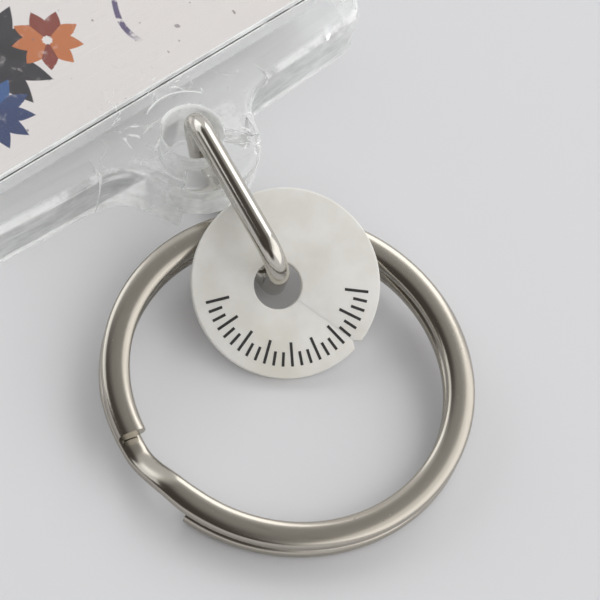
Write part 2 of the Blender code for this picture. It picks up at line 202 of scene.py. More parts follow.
class Bench:
    """A node tree that is being put together."""

    def __init__(self, tree):
        self.tree = tree

    def add(self, kind, settings=None, values=None, out=0):
        """A node: first its settings, then what its sockets hold. Gives its output as a Field."""
        node = self.tree.nodes.new(kind)
        for key, value in (settings or {}).items():
            if key == "stops":
                self.set_stops(node.color_ramp, value)
            else:
                setattr(node, key, value)
        for key, value in (values or {}).items():
            self.feed(node.inputs[key], value)
        return Field(self, node.outputs[out]) if len(node.outputs) else node

    def feed(self, socket, value):
        """Link a Field to a socket, or set the socket."""
        if isinstance(value, Field):
            self.tree.links.new(value.socket, socket)
        else:
            socket.default_value = value

    def set_stops(self, ramp, stops):
        """Give a colour ramp its stops, each a place and a colour."""
        while len(ramp.elements) > 1:
            ramp.elements.remove(ramp.elements[-1])
        ramp.elements[0].position, ramp.elements[0].color = stops[0]
        for place, colour in stops[1:]:
            ramp.elements.new(place).color = colour

    def sum(self, operation, first, second=None):
        """A Math node on numbers or Fields."""
        values = {0: first} if second is None else {0: first, 1: second}
        return self.add("ShaderNodeMath", {"operation": operation}, values)

    def sine(self, angle):
        return self.sum("SINE", angle)

    def cosine(self, angle):
        return self.sum("COSINE", angle)

    def step(self, value, low, high):
        """0 below low, 1 above high, and smooth between them."""
        return self.add("ShaderNodeMapRange", {"interpolation_type": "SMOOTHSTEP"},
                        {"Value": value, "From Min": low, "From Max": high})

    def mix(self, factor, first, second, blend="MIX"):
        """One colour laid over another."""
        return self.add("ShaderNodeMix", {"data_type": "RGBA", "blend_type": blend},
                        {0: factor, 6: first, 7: second}, out=2)

    def noise(self, place, scale, detail=3.0, roughness=0.5):
        """Soft noise between 0 and 1, its scale in waves to the metre."""
        return self.add("ShaderNodeTexNoise", {"noise_dimensions": "3D"},
                        {"Vector": place, "Scale": scale, "Detail": detail, "Roughness": roughness})

    def place(self):
        """Where the point is on the finished piece, in metres."""
        return self.add("ShaderNodeTexCoord", out="Object")

    def mapped(self, place, shift=(0.0, 0.0, 0.0), turn=(0.0, 0.0, 0.0), scale=(1.0, 1.0, 1.0)):
        """The place shifted, turned and stretched."""
        return self.add("ShaderNodeMapping", None,
                        {"Vector": place, "Location": shift, "Rotation": turn, "Scale": scale})

    def bump(self, height, distance, strength=1.0):
        """A normal that follows a height, which distance scales to metres."""
        return self.add("ShaderNodeBump", None,
                        {"Height": height, "Distance": distance, "Strength": strength})


def rgb(red, green, blue):
    """A colour read from 0 to 255 as a screen shows it, made linear."""
    def linear(level):
        share = level / 255.0
        return share / 12.92 if share <= 0.04045 else ((share + 0.055) / 1.055) ** 2.4
    return (linear(red), linear(green), linear(blue), 1.0)


def new_material(name):
    """An empty material, its bench and its output node."""
    material = bpy.data.materials.new(name)
    material.use_nodes = True
    material.node_tree.nodes.clear()
    bench = Bench(material.node_tree)
    output = bench.add("ShaderNodeOutputMaterial")
    return material, bench, output


def fine_scratches(bench, place, turns, scale, share):
    """Hairlines in several directions: noise drawn out along each, kept only where it peaks."""
    lines = None
    for i, turn in enumerate(turns):
        drawn = bench.mapped(place, shift=(i * 0.37, i * 0.11, 0.0), turn=(0.0, 0.0, turn),
                             scale=(1.0, 0.03, 1.0))
        line = bench.step(bench.noise(drawn, scale, 1.0), 1.0 - share, 1.0 - share * 0.6)
        lines = line if lines is None else bench.sum("MAXIMUM", lines, line)
    return lines


def clear_finish(name, tint, haze, scratches, frosting, outer, turned):
    """Moulded clear acrylic: handling marks, hairlines and slow ripples, white lines painted as highlights at the
    pocket lip, round the eye and on the edges, and it lets lamplight through.

    frosting gives how milky the underside, the outer walls and all faces are made: rubbing on the tray, and on the
    cover's top edge a painted highlight along the seam. outer gives how far out along X and Y a wall is an outer
    one and how high up it starts to be milky, and turned how level a face of it may be.
    """
    material, bench, output = new_material(name)
    place = bench.place()
    parts = bench.add("ShaderNodeSeparateXYZ", None, {"Vector": place})
    facing = bench.add("ShaderNodeSeparateXYZ", None, {
        "Vector": bench.add("ShaderNodeNewGeometry", out="Normal")})["Z"]
    under, wall, all_over = frosting
    outside = bench.step(parts["Z"], outer[2], outer[2] + 0.12 * MM) * bench.sum(
        "MAXIMUM", bench.step(abs(parts["X"]), outer[0], outer[0] + 0.12 * MM),
        bench.step(abs(parts["Y"]), outer[1], outer[1] + 0.12 * MM) * 0.6)
    upright = 1.0 - bench.step(abs(facing), turned[0], turned[1])
    east = parts["X"] - EYE_X
    off_eye = bench.sum("SQRT", east * east + parts["Y"] * parts["Y"])
    behind = bench.step((east * -0.98 + parts["Y"] * 0.2) / off_eye, 0.72, 0.86)
    beside = bench.step((east * -0.82 + parts["Y"] * 0.57) / off_eye, 0.15, 0.50)
    # Painted highlights: white frosting along the moulding line behind the eye and on one side of the eye's round
    # mouth, where bright arcs show.
    painted_eye_arcs = bench.sum(
        "MAXIMUM", behind * (1.0 - bench.step(abs(off_eye - LINE_RADIUS), 0.03 * MM, 0.10 * MM)),
        beside * (1.0 - bench.step(abs(off_eye - EYE_RADIUS - EYE_ROUND / 2), 0.06 * MM, 0.15 * MM)))
    pocket_end = upright * (1.0 - bench.step(abs(parts["X"] - POCKET_MIDDLE - POCKET_LENGTH / 2),
                                             0.10 * MM, 0.25 * MM))
    patches = bench.noise(place, 420.0, 3.0, 0.6)
    near_eye = 1.0 - bench.step(off_eye, 3.5 * MM, 8.0 * MM)
    wander = abs(bench.noise(place, 330.0, 1.0) - 0.5) + abs(bench.noise(place, 700.0, 1.0) - 0.5) * 0.2
    hairs = (1.0 - bench.step(wander, 0.012, 0.022)) * bench.step(patches, 0.46, 0.54)
    bore = upright * (1.0 - bench.step(off_eye, EYE_RADIUS + 0.05 * MM, EYE_RADIUS + EYE_ROUND))
    streaks = bench.noise(bench.mapped(place, scale=(1.0, 0.25, 1.0)), 1100.0, 4.0, 0.65)
    # Milky streaks on the outer walls; on the cover's top edge band they make a painted highlight of the seam.
    wall_milk_streaks = bench.step(streaks, 0.35, 0.70) * 0.35 + bench.step(patches, 0.42, 0.66) * 0.12 + 0.45
    past = bench.sum("MAXIMUM", abs(parts["X"] - POCKET_MIDDLE) - POCKET_LENGTH / 2,
                     abs(parts["Y"]) - POCKET_WIDTH / 2)
    # Painted highlight: white frosting on the pocket's rounded lip stands in for the bright line along the seam.
    painted_lip_line = bench.step(parts["Z"], TRAY_HEIGHT - 0.16 * MM, TRAY_HEIGHT - 0.08 * MM) * (
        1.0 - bench.step(abs(past - POCKET_LIP / 2), 0.07 * MM, 0.13 * MM))
    # White lines along the top and bottom edges of the outer walls: partly wear, partly a painted highlight where
    # rounded edges catch the lamps.
    wear_and_edge_highlight = outside * bench.step(patches, 0.38, 0.58) * bench.sum(
        "MAXIMUM", 1.0 - bench.step(parts["Z"], 0.12 * MM, 0.40 * MM),
        1.0 - bench.step(abs(parts["Z"] - TRAY_HEIGHT + 0.75 * MM), 0.12 * MM, 0.40 * MM))
    long_lines = fine_scratches(bench, place, (0.9, 2.05), 2400.0, 0.28)
    milk = bench.step(-facing, 0.90, 0.98) * under + upright * outside * wall_milk_streaks * wall + all_over
    milk = milk + painted_eye_arcs * 0.9 + bore * 0.30 + wear_and_edge_highlight * 0.50 + long_lines * (0.08 + outside * 0.25)
    milk = milk + hairs * near_eye * 0.75 + painted_lip_line * (bench.step(patches, 0.40, 0.60) * 0.3 + 0.5)
    flow = bench.noise(place, 180.0, 2.0)
    smear = bench.noise(place, 900.0, 4.0, 0.6)
    lines = fine_scratches(bench, place, (0.35, 1.4, 2.5), 5200.0, scratches)
    tone = bench.mix(flow, tint, (0.992, 0.994, 0.992, 1.0))
    rough = bench.step(smear, 0.45, 0.85) * haze + lines * 0.16 + pocket_end * 0.38 + 0.012
    cast = bench.noise(place, 1250.0, 2.0, 0.6) * outside * upright
    ripple = flow * 0.7 + bench.noise(place, 420.0, 1.0) * 0.3 + cast * 0.22
    slow = bench.bump(ripple, 0.10 * MM, 0.35)
    surface = bench.add("ShaderNodeBump", None, {
        "Height": lines * -1.0, "Distance": 0.004 * MM, "Strength": 0.6, "Normal": slow})
    glass = bench.add("ShaderNodeBsdfPrincipled", None, {
        "Base Color": tone, "Roughness": rough, "Normal": surface,
        "IOR": 1.49, "Transmission Weight": 1.0})
    frost = bench.add("ShaderNodeBsdfDiffuse", None, {"Color": rgb(249, 251, 250), "Normal": surface})
    body = bench.add("ShaderNodeMixShader", None, {0: milk, 1: glass, 2: frost})
    open_way = bench.add("ShaderNodeBsdfTransparent", None, {"Color": (0.993, 0.995, 0.994, 1.0)})
    ray = bench.add("ShaderNodeLightPath")
    lamp_ray = bench.sum("MAXIMUM", ray["Is Shadow Ray"], ray["Is Diffuse Ray"])
    both = bench.add("ShaderNodeMixShader", None, {0: lamp_ray, 1: body, 2: open_way})
    bench.feed(output.inputs["Surface"], both)
    return material


def along_ring(bench, place):
    """Noise drawn out round the ring, as the wire was drawn before it was wound."""
    middle = ring_place() @ Vector((RING_MEAN, 0.0, 0.0))
    parts = bench.add("ShaderNodeSeparateXYZ", None, {"Vector": place})
    east = parts["X"] - middle.x
    north = parts["Y"] - middle.y
    away = bench.sum("SQRT", east * east + north * north)
    drawn = bench.add("ShaderNodeCombineXYZ", None, {
        "X": east / away * 2.5, "Y": north / away * 2.5, "Z": (away + parts["Z"]) * 2200.0})
    return bench.noise(drawn, 1.0, 3.0, 0.6)


def along_link(bench, place):
    """Noise drawn out along the link's long runs."""
    level = bench.mapped(place, turn=(0.0, 0.0, -LINK_YAW))
    return bench.noise(bench.mapped(level, scale=(0.06, 1.0, 1.0)), 2600.0, 3.0, 0.6)


def nickel_finish(name, tone, dull, draw):
    """Bright nickel plate over drawn wire: slight tarnish, soft orange peel, drawing lines and small pits."""
    material, bench, output = new_material(name)
    place = bench.place()
    cloud = bench.noise(place, 260.0, 4.0, 0.6)
    grain = bench.noise(place, 2600.0, 3.0, 0.6)
    drawn = draw(bench, place)
    lines = fine_scratches(bench, place, (0.2, 1.1, 1.9, 2.7), 3800.0, 0.30)
    pits = bench.step(bench.noise(place, 3800.0, 2.0), 0.72, 0.80)
    colour = bench.mix(cloud, tone, rgb(176, 172, 162))
    colour = bench.mix(bench.step(drawn, 0.5, 0.8) * 0.35, colour, rgb(150, 142, 130))
    colour = bench.mix(pits * 0.5, colour, rgb(110, 100, 88))
    rough = dull + cloud * 0.05 + drawn * 0.06 + lines * 0.04 + pits * 0.15
    peel = bench.bump(grain * 0.4 + cloud * 0.4 + drawn * 0.6, 0.005 * MM, 0.4)
    cut = bench.add("ShaderNodeBump", None, {
        "Height": lines * 0.4 + pits, "Distance": -0.003 * MM, "Strength": 0.4, "Normal": peel})
    metal = bench.add("ShaderNodeBsdfPrincipled", None, {
        "Base Color": colour, "Roughness": rough, "Metallic": 1.0, "Normal": cut})
    bench.feed(output.inputs["Surface"], metal)
    return material


def disc_finish():
    """Thin milky nylon: warm white, soft clouding and a few worn patches, light carried a little way inside."""
    material, bench, output = new_material("milky_nylon")
    place = bench.place()
    cloud = bench.noise(place, 420.0, 4.0, 0.55)
    wide = bench.noise(place, 150.0, 2.0, 0.5)
    fibre = bench.noise(place, 3200.0, 3.0, 0.6)
    colour = bench.mix(bench.step(cloud, 0.3, 0.7), rgb(229, 227, 220), rgb(238, 237, 233))
    colour = bench.mix(bench.step(wide, 0.45, 0.7) * 0.4, colour, rgb(224, 219, 202))
    rough = 0.40 + fibre * 0.12 + cloud * 0.08
    relief = bench.bump(cloud * 0.6 + fibre * 0.15, 0.05 * MM, 0.5)
    nylon = bench.add("ShaderNodeBsdfPrincipled", None, {
        "Base Color": colour, "Roughness": rough, "Normal": relief,
        "Subsurface Weight": 0.25, "Subsurface Scale": 0.5 * MM,
        "Subsurface Radius": (1.0, 0.9, 0.8)})
    bench.feed(output.inputs["Surface"], nylon)
    return material


def ink_finish():
    """Black marking ink, its film a little uneven."""
    material, bench, output = new_material("marking_ink")
    place = bench.place()
    film = bench.noise(place, 5000.0, 3.0, 0.6)
    colour = bench.mix(film, rgb(26, 26, 28), rgb(52, 50, 50))
    ink = bench.add("ShaderNodeBsdfPrincipled", None, {
        "Base Color": colour, "Roughness": 0.35 + film * 0.2,
        "Normal": bench.bump(film, 0.01 * MM, 0.4)})
    bench.feed(output.inputs["Surface"], ink)
    return material


def leaf_fan(bench, across, along, middle, start, reach, leaves, turn):
    """A ring of equal leaves round a middle. Gives how far the point is on a leaf, and the leaf's number."""
    east = across - middle[0]
    north = along - middle[1]
    away = bench.sum("SQRT", east * east + north * north)
    angle = bench.sum("ARCTAN2", north, east) + turn
    step = math.tau / leaves
    number = bench.sum("FLOOR", angle / step)
    off = abs(angle - (number + 0.5) * step) * away
    part = (away - start) / (reach - start)
    width = bench.sine(bench.sum("MAXIMUM", bench.sum("MINIMUM", part, 1.0), 0.0) ** 0.8 * math.pi)
    edge = width * (step * reach * 0.40) - off
    return bench.step(edge, 0.0, 0.10), number


def card_finish():
    """A printed card: a pale ground with fans of plain leaves, a few brush strokes and a printer's screen."""
    material, bench, output = new_material("card_print")
    low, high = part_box("printed_card")
    place = bench.place()
    parts = bench.add("ShaderNodeSeparateXYZ", None, {"Vector": place})
    across = parts["X"] / MM
    along = parts["Y"] / MM
    drift = bench.noise(place, 60.0, 2.0)
    ground = bench.mix(drift, rgb(245, 238, 235), rgb(243, 239, 238))
    inks = [
        ((15.2, -6.9), 0.4, 4.8, 12, 0.2, (rgb(22, 24, 34), rgb(28, 38, 72), rgb(16, 16, 24))),
        ((18.9, -9.6), 0.3, 3.2, 11, 0.5, (rgb(46, 92, 152), rgb(30, 56, 108), rgb(74, 118, 172))),
        ((16.3, -2.6), 0.3, 2.6, 9, 0.9, (rgb(184, 80, 34), rgb(138, 50, 24), rgb(204, 116, 56))),
        ((8.0, -8.5), 0.5, 4.6, 11, 0.4, (rgb(70, 46, 46), rgb(40, 32, 46), rgb(110, 70, 50))),
        ((-2.0, 4.5), 0.8, 8.2, 17, 0.1, (rgb(82, 60, 60), rgb(50, 44, 56), rgb(120, 84, 66))),
        ((-13.0, -7.0), 0.6, 6.4, 13, 0.4, (rgb(70, 112, 160), rgb(38, 44, 66), rgb(96, 140, 180))),
        ((-15.5, 8.5), 0.4, 4.8, 11, 0.7, (rgb(190, 96, 52), rgb(90, 80, 120), rgb(214, 140, 84))),
    ]
    colour = ground
    for middle, start, reach, leaves, turn, tones in inks:
        mask, number = leaf_fan(bench, across, along, middle, start, reach, leaves, turn)
        pick = bench.add("ShaderNodeTexWhiteNoise", {"noise_dimensions": "1D"},
                         {"W": number + reach}, out="Value")
        tone = bench.mix(bench.step(pick, 0.30, 0.34), tones[0], tones[1])
        tone = bench.mix(bench.step(pick, 0.66, 0.70), tone, tones[2])
        tone = bench.mix(bench.step(bench.noise(place, 900.0, 4.0, 0.6), 0.56, 0.72) * 0.35, tone, ground)
        colour = bench.mix(mask, colour, tone)
    wave = bench.sine(across * 0.55 + 0.7) * 1.1 + 3.6
    stroke = bench.step(0.28 - abs(along - wave), 0.0, 0.12) * bench.step(4.6 - abs(across - 15.6), 0.0, 1.5)
    colour = bench.mix(stroke * bench.step(bench.noise(place, 1500.0, 2.0), 0.35, 0.5),
                       colour, rgb(96, 84, 124))
    specks = bench.step(bench.noise(place, 1500.0, 1.0), 0.745, 0.775)
    colour = bench.mix(specks * 0.7, colour, rgb(126, 112, 118))
    screen = bench.sine((across + along) * 30.6) * bench.sine((across - along) * 30.6)
    colour = bench.mix(screen * 0.10 + 0.10, colour, rgb(120, 110, 116))
    paper = bench.step(parts["Z"], high.z - 0.02 * MM, high.z - 0.005 * MM)
    colour = bench.mix(paper, rgb(236, 234, 228), colour)
    rough = 0.42 + bench.noise(place, 2400.0, 3.0) * 0.15
    stock = bench.add("ShaderNodeBsdfPrincipled", None, {
        "Specular IOR Level": 0.25,
        "Base Color": colour, "Roughness": rough,
        "Normal": bench.bump(bench.noise(place, 2400.0, 3.0), 0.01 * MM, 0.4)})
    bench.feed(output.inputs["Surface"], stock)
    return material


def table_finish():
    """The pale table: a smooth sheet with the faintest mottling."""
    material, bench, output = new_material("pale_table")
    place = bench.place()
    wash = bench.noise(place, 9.0, 2.0)
    fine = bench.noise(place, 1300.0, 3.0)
    colour = bench.mix(wash, rgb(224, 225, 228), rgb(228, 228, 230))
    sheet = bench.add("ShaderNodeBsdfPrincipled", None, {
        "Base Color": colour, "Roughness": 0.5 + fine * 0.1,
        "Normal": bench.bump(fine, 0.01 * MM, 0.3)})
    bench.feed(output.inputs["Surface"], sheet)
    return material


def heading(bearing, height):
    """The direction that points to a bearing, that far above the horizon."""
    return Vector((math.cos(height) * math.cos(bearing), math.cos(height) * math.sin(bearing), math.sin(height)))


def soften(corners, radii, steps=5):
    """A run of straight lines with each inner corner rounded by its radius."""
    points = [tuple(corners[0])]
    for before, corner, after, radius in zip(corners, corners[1:], corners[2:], radii):
        back = Vector(before) - Vector(corner)
        on = Vector(after) - Vector(corner)
        half = back.angle(on) / 2
        reach = min(radius / math.tan(half), back.length * 0.49, on.length * 0.49)
        radius = reach * math.tan(half)
        middle = Vector(corner) + (back.normalized() + on.normalized()).normalized() * (radius / math.sin(half))
        first = Vector(corner) + back.normalized() * reach - middle
        last = Vector(corner) + on.normalized() * reach - middle
        turn = last.angle(first)
        for i in range(steps + 1):
            part = i / steps
            spoke = first * math.sin((1 - part) * turn) + last * math.sin(part * turn)
            points.append(tuple(round(value, 9) for value in middle + spoke / math.sin(turn)))
    return points + [tuple(corners[-1])]


def arc(middle, radius, start, end, count):
    """Points along a flat arc, both ends included."""
    angles = [start + (end - start) * i / count for i in range(count + 1)]
    return [(middle[0] + radius * math.cos(a), middle[1] + radius * math.sin(a)) for a in angles]


def mesh_of(bm, name):
    """A mesh whose faces all point outwards."""
    bmesh.ops.recalc_face_normals(bm, faces=bm.faces)
    mesh = bpy.data.meshes.new(name)
    bm.to_mesh(mesh)
    bm.free()
    return mesh


def stacked(name, levels):
    """A closed solid through outlines of equal point count, each with its height."""
    bm = bmesh.new()
    rows = [[bm.verts.new((x, y, z)) for x, y in outline] for outline, z in levels]
    for low, high in zip(rows, rows[1:]):
        for i in range(len(low)):
            j = (i + 1) % len(low)
            bm.faces.new((low[i], low[j], high[j], high[i]))
    bm.faces.new(list(reversed(rows[0])))
    bm.faces.new(rows[-1])
    return mesh_of(bm, name)


def put(name, mesh, *finishes):
    """A mesh in the scene as one piece."""
    piece = bpy.data.objects.new(name, mesh)
    bpy.context.scene.collection.objects.link(piece)
    for finish in finishes:
        mesh.materials.append(finish)
    return piece


def shade(mesh, angle):
    """Smooth the mesh, with edges sharper than angle kept crisp."""
    mesh.shade_smooth()
    mesh.set_sharp_from_angle(angle=angle)


def flatten_faces(piece):
    """Let the broad flat faces keep their own direction where a small round edge meets them."""
    level = piece.modifiers.new("broad_faces", "WEIGHTED_NORMAL")
    level.keep_sharp = True
    settle(piece)


def carve(piece, tools):
    """Join and cut a piece with other solids, then keep only the result."""
    for operation, mesh in tools:
        tool = put(mesh.name, mesh)
        tool.hide_render = True
        change = piece.modifiers.new(tool.name, "BOOLEAN")
        change.operation = operation
        change.solver = "EXACT"
        change.object = tool
    settle(piece)
    for _, mesh in tools:
        bpy.data.objects.remove(bpy.data.objects[mesh.name])


def settle(piece):
    """Turn a piece and its modifiers into a plain mesh."""
    bpy.context.view_layer.update()
    evaluated = piece.evaluated_get(bpy.context.evaluated_depsgraph_get())
    mesh = bpy.data.meshes.new_from_object(evaluated)
    piece.modifiers.clear()
    piece.data = mesh
    mesh.name = piece.name


def tray_outline(inset):
    """The tray from above: bowed ends and round corners, set in all round."""
    half_length = TRAY_LENGTH / 2 - inset
    half_width = TRAY_WIDTH / 2 - inset
    radius = max(TRAY_CORNER - inset, TRAY_CORNER / 3)
    reach = half_width - radius
    end = []
    for i in range(25):
        y = -reach + 2 * reach * i / 24
        end.append((half_length - TRAY_BOW * (y / (TRAY_WIDTH / 2)) ** 2, y))
    corner = arc((end[-1][0] - radius, reach), radius, 0.0, math.pi / 2, 16)[1:]
    lower = [(x, -y) for x, y in reversed(corner)]
    near = lower + end + corner
    return near + [(-x, -y) for x, y in near]


def rounded_box(middle, length, width, radius, count=8):
    """A rectangle with round corners, its long side along X."""
    outline = []
    for side_x, side_y, start in ((1, 1, 0.0), (-1, 1, 0.5), (-1, -1, 1.0), (1, -1, 1.5)):
        corner = (middle + side_x * (length / 2 - radius), side_y * (width / 2 - radius))
        outline += arc(corner, radius, start * math.pi, (start + 0.5) * math.pi, count)
    return outline


def lug_outline(inset):
    """The lug from above: a round tip running into the end wall through two hollow curves."""
    wall = TRAY_LENGTH / 2
    tip = EYE_X + LUG_TIP_AHEAD
    hollow = wall + LUG_HOLLOW
    span = LUG_TIP + LUG_HOLLOW
    hollow_y = math.sqrt(span ** 2 - (hollow - tip) ** 2)
    touch = math.atan2(hollow_y, hollow - tip)
    upper = arc((hollow, hollow_y), LUG_HOLLOW + inset, math.pi + touch, math.pi, 20)
    front = arc((tip, 0.0), LUG_TIP - inset, -touch, touch, 40)
    lower = [(x, -y) for x, y in reversed(upper)]
    root = (wall - TRAY_CORNER, upper[-1][1])
    return [(root[0], -root[1])] + lower + front[1:-1] + upper + [root]


def channel_outline(spare):
    """The fan under the lug that the link's lower run sweeps, opening away from the eye."""
    fan = []
    for (turn, side), way in zip(CHANNEL_SIDES, (-1, 1)):
        for ahead in (CHANNEL_NEAR, CHANNEL_FAR):
            off = side + way * spare
            fan.append((EYE_X + ahead * math.cos(turn) - off * math.sin(turn),
                        ahead * math.sin(turn) + off * math.cos(turn)))
    return [fan[0], fan[1], fan[3], fan[2]]


def ridge_bar(name, wall, side, spare):
    """A snap ridge or the tool for its groove: a blunt triangle carried along the wall."""
    middle = TRAY_HEIGHT - RIDGE_DOWN
    root = wall - side * CUT_ON / 4
    half_height = RIDGE_HALF_HEIGHT + spare
    profile = [(root, middle - half_height), (wall, middle - half_height),
               (wall + side * RIDGE_PROUD, middle),
               (wall, middle + half_height), (root, middle + half_height)]
    half = RIDGE_LENGTH / 2 + spare
    bm = bmesh.new()
    ends = [[bm.verts.new((x, y, z)) for y, z in profile]
            for x in (POCKET_MIDDLE - half, POCKET_MIDDLE + half)]
    for i in range(len(profile)):
        j = (i + 1) % len(profile)
        bm.faces.new((ends[0][i], ends[0][j], ends[1][j], ends[1][i]))
    bm.faces.new(ends[0])
    bm.faces.new(ends[1])
    return mesh_of(bm, name)


def moulding_line(name, top):
    """The tool for the shallow curved line that the mould leaves on the face behind the eye."""
    bm = bmesh.new()
    rows = []
    count = 40
    for i in range(count + 1):
        part = i / count
        turn = LINE_ARC[0] + (LINE_ARC[1] - LINE_ARC[0]) * part
        fade = math.sin(math.pi * min(max(part, 0.04), 0.96)) ** 0.5
        row = []
        for out, down in ((-0.5, -1.0), (0.5, -1.0), (0.3, fade), (-0.3, fade)):
            radius = LINE_RADIUS + out * LINE_WIDTH
            row.append(bm.verts.new((EYE_X + radius * math.cos(turn), radius * math.sin(turn),
                                     top - down * LINE_DEPTH)))
        rows.append(row)
    for one, two in zip(rows, rows[1:]):
        for i in range(4):
            j = (i + 1) % 4
            bm.faces.new((one[i], one[j], two[j], two[i]))
    bm.faces.new(rows[0])
    bm.faces.new(rows[-1])
    return mesh_of(bm, name)


def make_tray(finish):
    """The clear tray: soft edges all round, the lug with its drilled eye, the pocket and the snap grooves."""
    top = TRAY_HEIGHT
    sides = soften(
        [(1.2 * MM, 0.0), (0.0, 0.0), (0.0, top - BEVEL_DOWN), (BEVEL_IN, top), (BEVEL_IN + 1.5 * MM, top)],
        (FOOT_ROUND, SIDE_ROUND, RIM_ROUND), 8)
    tray = put("clear_tray", stacked("clear_tray", [(tray_outline(inset), z) for inset, z in sides]), finish)

    lug_sides = soften([(1.2 * MM, 0.0), (0.0, 0.0), (0.0, top), (1.2 * MM, top)],
                       (FOOT_ROUND, LUG_ROUND))[1:-1]
    lug = stacked("lug_tool", [(lug_outline(inset), z) for inset, z in lug_sides])

    above = top + CUT_ON
    wall = [(0.0, POCKET_FLOOR), (0.0, top - POCKET_LIP)]
    for i in range(1, 5):
        turn = math.radians(17.0 * i)
        wall.append((POCKET_LIP * (1 - math.cos(turn)), top - POCKET_LIP * (1 - math.sin(turn))))
    wall.append((wall[-1][0], above))
    pocket = stacked("pocket_tool", [
        (rounded_box(POCKET_MIDDLE, POCKET_LENGTH + 2 * out, POCKET_WIDTH + 2 * out, POCKET_CORNER + out), z)
        for out, z in wall])

    bore = [(EYE_RADIUS, -CUT_ON), (EYE_RADIUS, top - EYE_ROUND)]
    for i in range(1, 7):
        turn = math.radians(13.0 * i)
        bore.append((EYE_RADIUS + EYE_ROUND * (1 - math.cos(turn)), top - EYE_ROUND * (1 - math.sin(turn))))
    bore.append((bore[-1][0], above))
    eye = stacked("eye_tool", [(arc((EYE_X, 0.0), radius, 0.0, math.tau, 90)[:-1], z) for radius, z in bore])

    ceiling = soften([(0.0, -CUT_ON), (0.0, CHANNEL_TOP), (-1.0 * MM, CHANNEL_TOP)], (CHANNEL_ROUND,), 8)[:-1]
    channel = stacked("channel_tool", [(channel_outline(out), z) for out, z in ceiling])

    tools = [("UNION", lug), ("DIFFERENCE", pocket), ("DIFFERENCE", eye), ("DIFFERENCE", channel),
             ("DIFFERENCE", moulding_line("line_tool", top))]
    for side, label in ((1, "left"), (-1, "right")):
        tools.append(("DIFFERENCE", ridge_bar("groove_tool_" + label, side * POCKET_WIDTH / 2, side, PLAY)))
    carve(tray, tools)
    shade(tray.data, math.radians(28.0))
    flatten_faces(tray)
    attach(tray, "tray")
    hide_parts("tray_frame")
    return tray


def make_cover(finish):
    """The clear plate over the card, flush with the tray's top, with a snap ridge on each long side."""
    length = POCKET_LENGTH - 2 * PLAY
    width = POCKET_WIDTH - 2 * PLAY
    sides = soften([(1.2 * MM, COVER_UNDERSIDE), (0.0, COVER_UNDERSIDE), (0.0, TRAY_HEIGHT),
                    (1.2 * MM, TRAY_HEIGHT)], (0.08 * MM, COVER_EDGE))
    plate = stacked("clear_cover", [
        (rounded_box(POCKET_MIDDLE, length - 2 * inset, width - 2 * inset, POCKET_CORNER), z)
        for inset, z in sides])
    cover = put("clear_cover", plate, finish)
    carve(cover, [("UNION", ridge_bar("ridge_tool_" + label, side * width / 2, side, 0.0))
                  for side, label in ((1, "left"), (-1, "right"))])
    shade(cover.data, math.radians(28.0))
    flatten_faces(cover)
    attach(cover, "cover")
    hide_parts("snap_cover")
    return cover


def geometry_tree(name, sockets):
    """A Geometry Nodes tree with named inputs, its bench, and its inputs by name."""
    tree = bpy.data.node_groups.new(name, "GeometryNodeTree")
    tree.interface.new_socket("Geometry", in_out="INPUT", socket_type="NodeSocketGeometry")
    for label, kind in sockets:
        tree.interface.new_socket(label, in_out="INPUT", socket_type=kind)
    tree.interface.new_socket("Geometry", in_out="OUTPUT", socket_type="NodeSocketGeometry")
    bench = Bench(tree)
    given = bench.add("NodeGroupInput")
    return tree, bench, given


def close_tree(bench, geometry, finish):
    """End a tree: real geometry, smooth faces and its finish."""
    smooth = bench.add("GeometryNodeSetShadeSmooth", None, {"Geometry": geometry})
    real = bench.add("GeometryNodeRealizeInstances", None, {"Geometry": smooth})
    painted = bench.add("GeometryNodeSetMaterial", None, {"Geometry": real, "Material": finish})
    output = bench.add("NodeGroupOutput")
    bench.feed(output.inputs["Geometry"], painted)


def grow(piece, tree, sizes):
    """Run a tree on a piece with its inputs set, and keep the result as a plain mesh."""
    growth = piece.modifiers.new(tree.name, "NODES")
    growth.node_group = tree
    for item in tree.interface.items_tree:
        if item.item_type == "SOCKET" and item.in_out == "INPUT" and item.name in sizes:
            growth[item.identifier] = sizes[item.name]
    settle(piece)


def link_place():
    """The link's place: swung sideways in the eye, leaning over, its lower run on the table."""
    return (Matrix.Translation((EYE_X, 0.0, 0.0)) @ Matrix.Rotation(LINK_YAW, 4, "Z")
            @ Matrix.Translation((0.0, LINK_SHIFT, LINK_WIRE / 2)) @ Matrix.Rotation(LINK_LEAN, 4, "X"))


